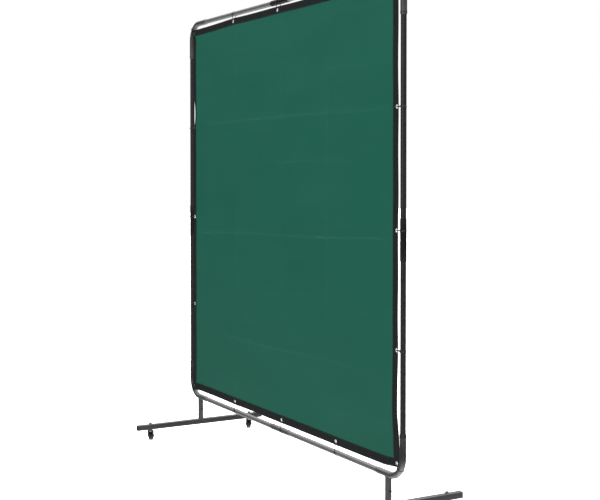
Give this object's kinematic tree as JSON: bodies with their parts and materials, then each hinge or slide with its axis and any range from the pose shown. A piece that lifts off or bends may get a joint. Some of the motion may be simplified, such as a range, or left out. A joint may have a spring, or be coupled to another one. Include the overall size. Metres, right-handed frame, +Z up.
{
  "type": "welding curtain screen",
  "caption": "Free-standing welding screen: a green vinyl curtain with a black hem, tied by its grommets into a round-tube frame with rounded corners, on two feet with swivel casters.",
  "frame": {"origin": "on the floor, at the middle of the screen between its feet", "axes": "X across the screen, Y through it with the curtain's front face towards -Y, +Z up"},
  "size_m": [1.9196, 0.682, 2.0818],
  "materials": {
    "frame_paint": "semi-gloss dark grey powder coat",
    "sleeve_paint": "satin black",
    "black_steel": "black oxide",
    "zinc_steel": "dull zinc plate",
    "caster_steel": "satin black pressed steel",
    "wheel_plastic": "moulded matt black",
    "wheel_tyre": "matt black tread",
    "cap_plastic": "moulded matt black",
    "curtain_vinyl": "smooth dark green tinted vinyl, slight sheen",
    "hem_vinyl": "black reinforced hem",
    "grommet_metal": "bright nickel",
    "tie_nylon": "moulded black nylon"
  },
  "bodies": {
    "frame": {"elbow_top_left": "frame_paint", "top_tube_left": "frame_paint", "elbow_bottom_left": "frame_paint", "bottom_tube_left": "frame_paint", "left_tube_lower": "frame_paint", "left_tube_upper": "frame_paint", "leg_left": "frame_paint", "post_left": "frame_paint", "foot_tube_left": "frame_paint", "foot_cap_front_left": "cap_plastic", "foot_cap_back_left": "cap_plastic", "elbow_top_right": "frame_paint", "top_tube_right": "frame_paint", "elbow_bottom_right": "frame_paint", "bottom_tube_right": "frame_paint", "right_tube_lower": "frame_paint", "right_tube_upper": "frame_paint", "leg_right": "frame_paint", "post_right": "frame_paint", "foot_tube_right": "frame_paint", "foot_cap_front_right": "cap_plastic", "foot_cap_back_right": "cap_plastic", "sleeve_left": "sleeve_paint", "sleeve_right": "sleeve_paint", "sleeve_top": "sleeve_paint", "sleeve_bottom": "sleeve_paint", "leg_bolts": "black_steel", "leg_nuts": "black_steel", "curtain_sheet": "curtain_vinyl", "hem_left": "hem_vinyl", "hem_right": "hem_vinyl", "hem_top": "hem_vinyl", "hem_bottom": "hem_vinyl", "grommets": "grommet_metal", "curtain_ties": "tie_nylon", "caster_nuts": "zinc_steel", "caster_washers": "zinc_steel", "caster_stem_front_left": "zinc_steel", "caster_stem_front_right": "zinc_steel", "caster_stem_back_left": "zinc_steel", "caster_stem_back_right": "zinc_steel"},
    "swivel_front_left": {"caster_fork_front_left": "caster_steel", "caster_axle_front_left": "zinc_steel"},
    "wheel_front_left": {"caster_wheel_front_left": "wheel_plastic", "caster_tyre_front_left": "wheel_tyre"},
    "swivel_front_right": {"caster_fork_front_right": "caster_steel", "caster_axle_front_right": "zinc_steel"},
    "wheel_front_right": {"caster_wheel_front_right": "wheel_plastic", "caster_tyre_front_right": "wheel_tyre"},
    "swivel_back_left": {"caster_fork_back_left": "caster_steel", "caster_axle_back_left": "zinc_steel"},
    "wheel_back_left": {"caster_wheel_back_left": "wheel_plastic", "caster_tyre_back_left": "wheel_tyre"},
    "swivel_back_right": {"caster_fork_back_right": "caster_steel", "caster_axle_back_right": "zinc_steel"},
    "wheel_back_right": {"caster_wheel_back_right": "wheel_plastic", "caster_tyre_back_right": "wheel_tyre"}
  },
  "joints": [
    {"name": "swivel_front_left", "type": "hinge", "parent": "frame", "child": "swivel_front_left", "pos_m": [-0.85, -0.2715, 0.045], "axis": [0, 0, 1], "continuous": true},
    {"name": "roll_front_left", "type": "hinge", "parent": "swivel_front_left", "child": "wheel_front_left", "pos_m": [-0.86286, -0.26377, 0.02], "axis": [-0.515, -0.8572, 0], "continuous": true},
    {"name": "swivel_front_right", "type": "hinge", "parent": "frame", "child": "swivel_front_right", "pos_m": [0.85, -0.2715, 0.045], "axis": [0, 0, 1], "continuous": true},
    {"name": "roll_front_right", "type": "hinge", "parent": "swivel_front_right", "child": "wheel_front_right", "pos_m": [0.83786, -0.26268, 0.02], "axis": [-0.5878, -0.809, 0], "continuous": true},
    {"name": "swivel_back_left", "type": "hinge", "parent": "frame", "child": "swivel_back_left", "pos_m": [-0.85, 0.2715, 0.045], "axis": [0, 0, 1], "continuous": true},
    {"name": "roll_back_left", "type": "hinge", "parent": "swivel_back_left", "child": "wheel_back_left", "pos_m": [-0.8641, 0.27663, 0.02], "axis": [-0.342, -0.9397, 0], "continuous": true},
    {"name": "swivel_back_right", "type": "hinge", "parent": "frame", "child": "swivel_back_right", "pos_m": [0.85, 0.2715, 0.045], "axis": [0, 0, 1], "continuous": true},
    {"name": "roll_back_right", "type": "hinge", "parent": "swivel_back_right", "child": "wheel_back_right", "pos_m": [0.83663, 0.27831, 0.02], "axis": [-0.454, -0.891, 0], "continuous": true}
  ]
}
